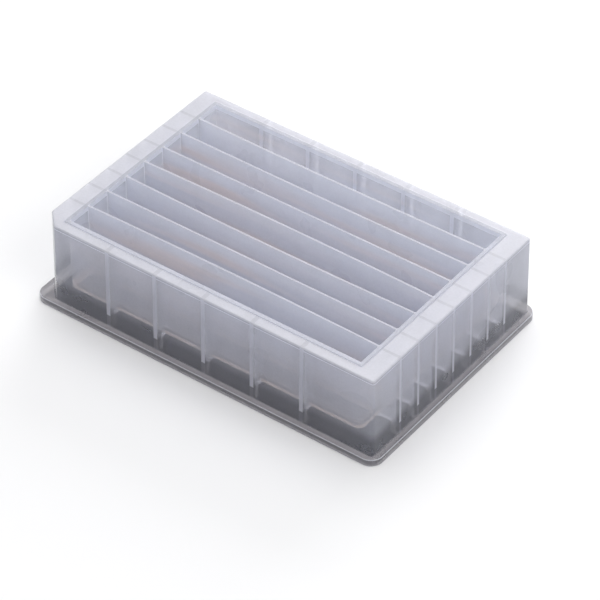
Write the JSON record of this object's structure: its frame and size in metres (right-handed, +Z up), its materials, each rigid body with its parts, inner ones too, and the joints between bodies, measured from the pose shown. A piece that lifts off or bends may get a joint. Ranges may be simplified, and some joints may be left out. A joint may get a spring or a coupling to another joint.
{
  "type": "reagent reservoir",
  "caption": "Translucent moulded reagent reservoir with long parallel troughs, a raised rim, a ribbed skirt and a stepped flange on the standard plate footprint.",
  "frame": {"origin": "centre of the standard footprint, on the surface that the part stands on", "axes": "+Z up out of the troughs, +X along the troughs away from the cut corner, +Y across the rows away from the cut corner"},
  "size_m": [0.1278, 0.0854, 0.0315],
  "materials": {
    "moulding": "natural polypropylene, milky and see-through where it is thin, with a soft sheen"
  },
  "bodies": {
    "root": {"reservoir": "moulding"}
  },
  "joints": []
}
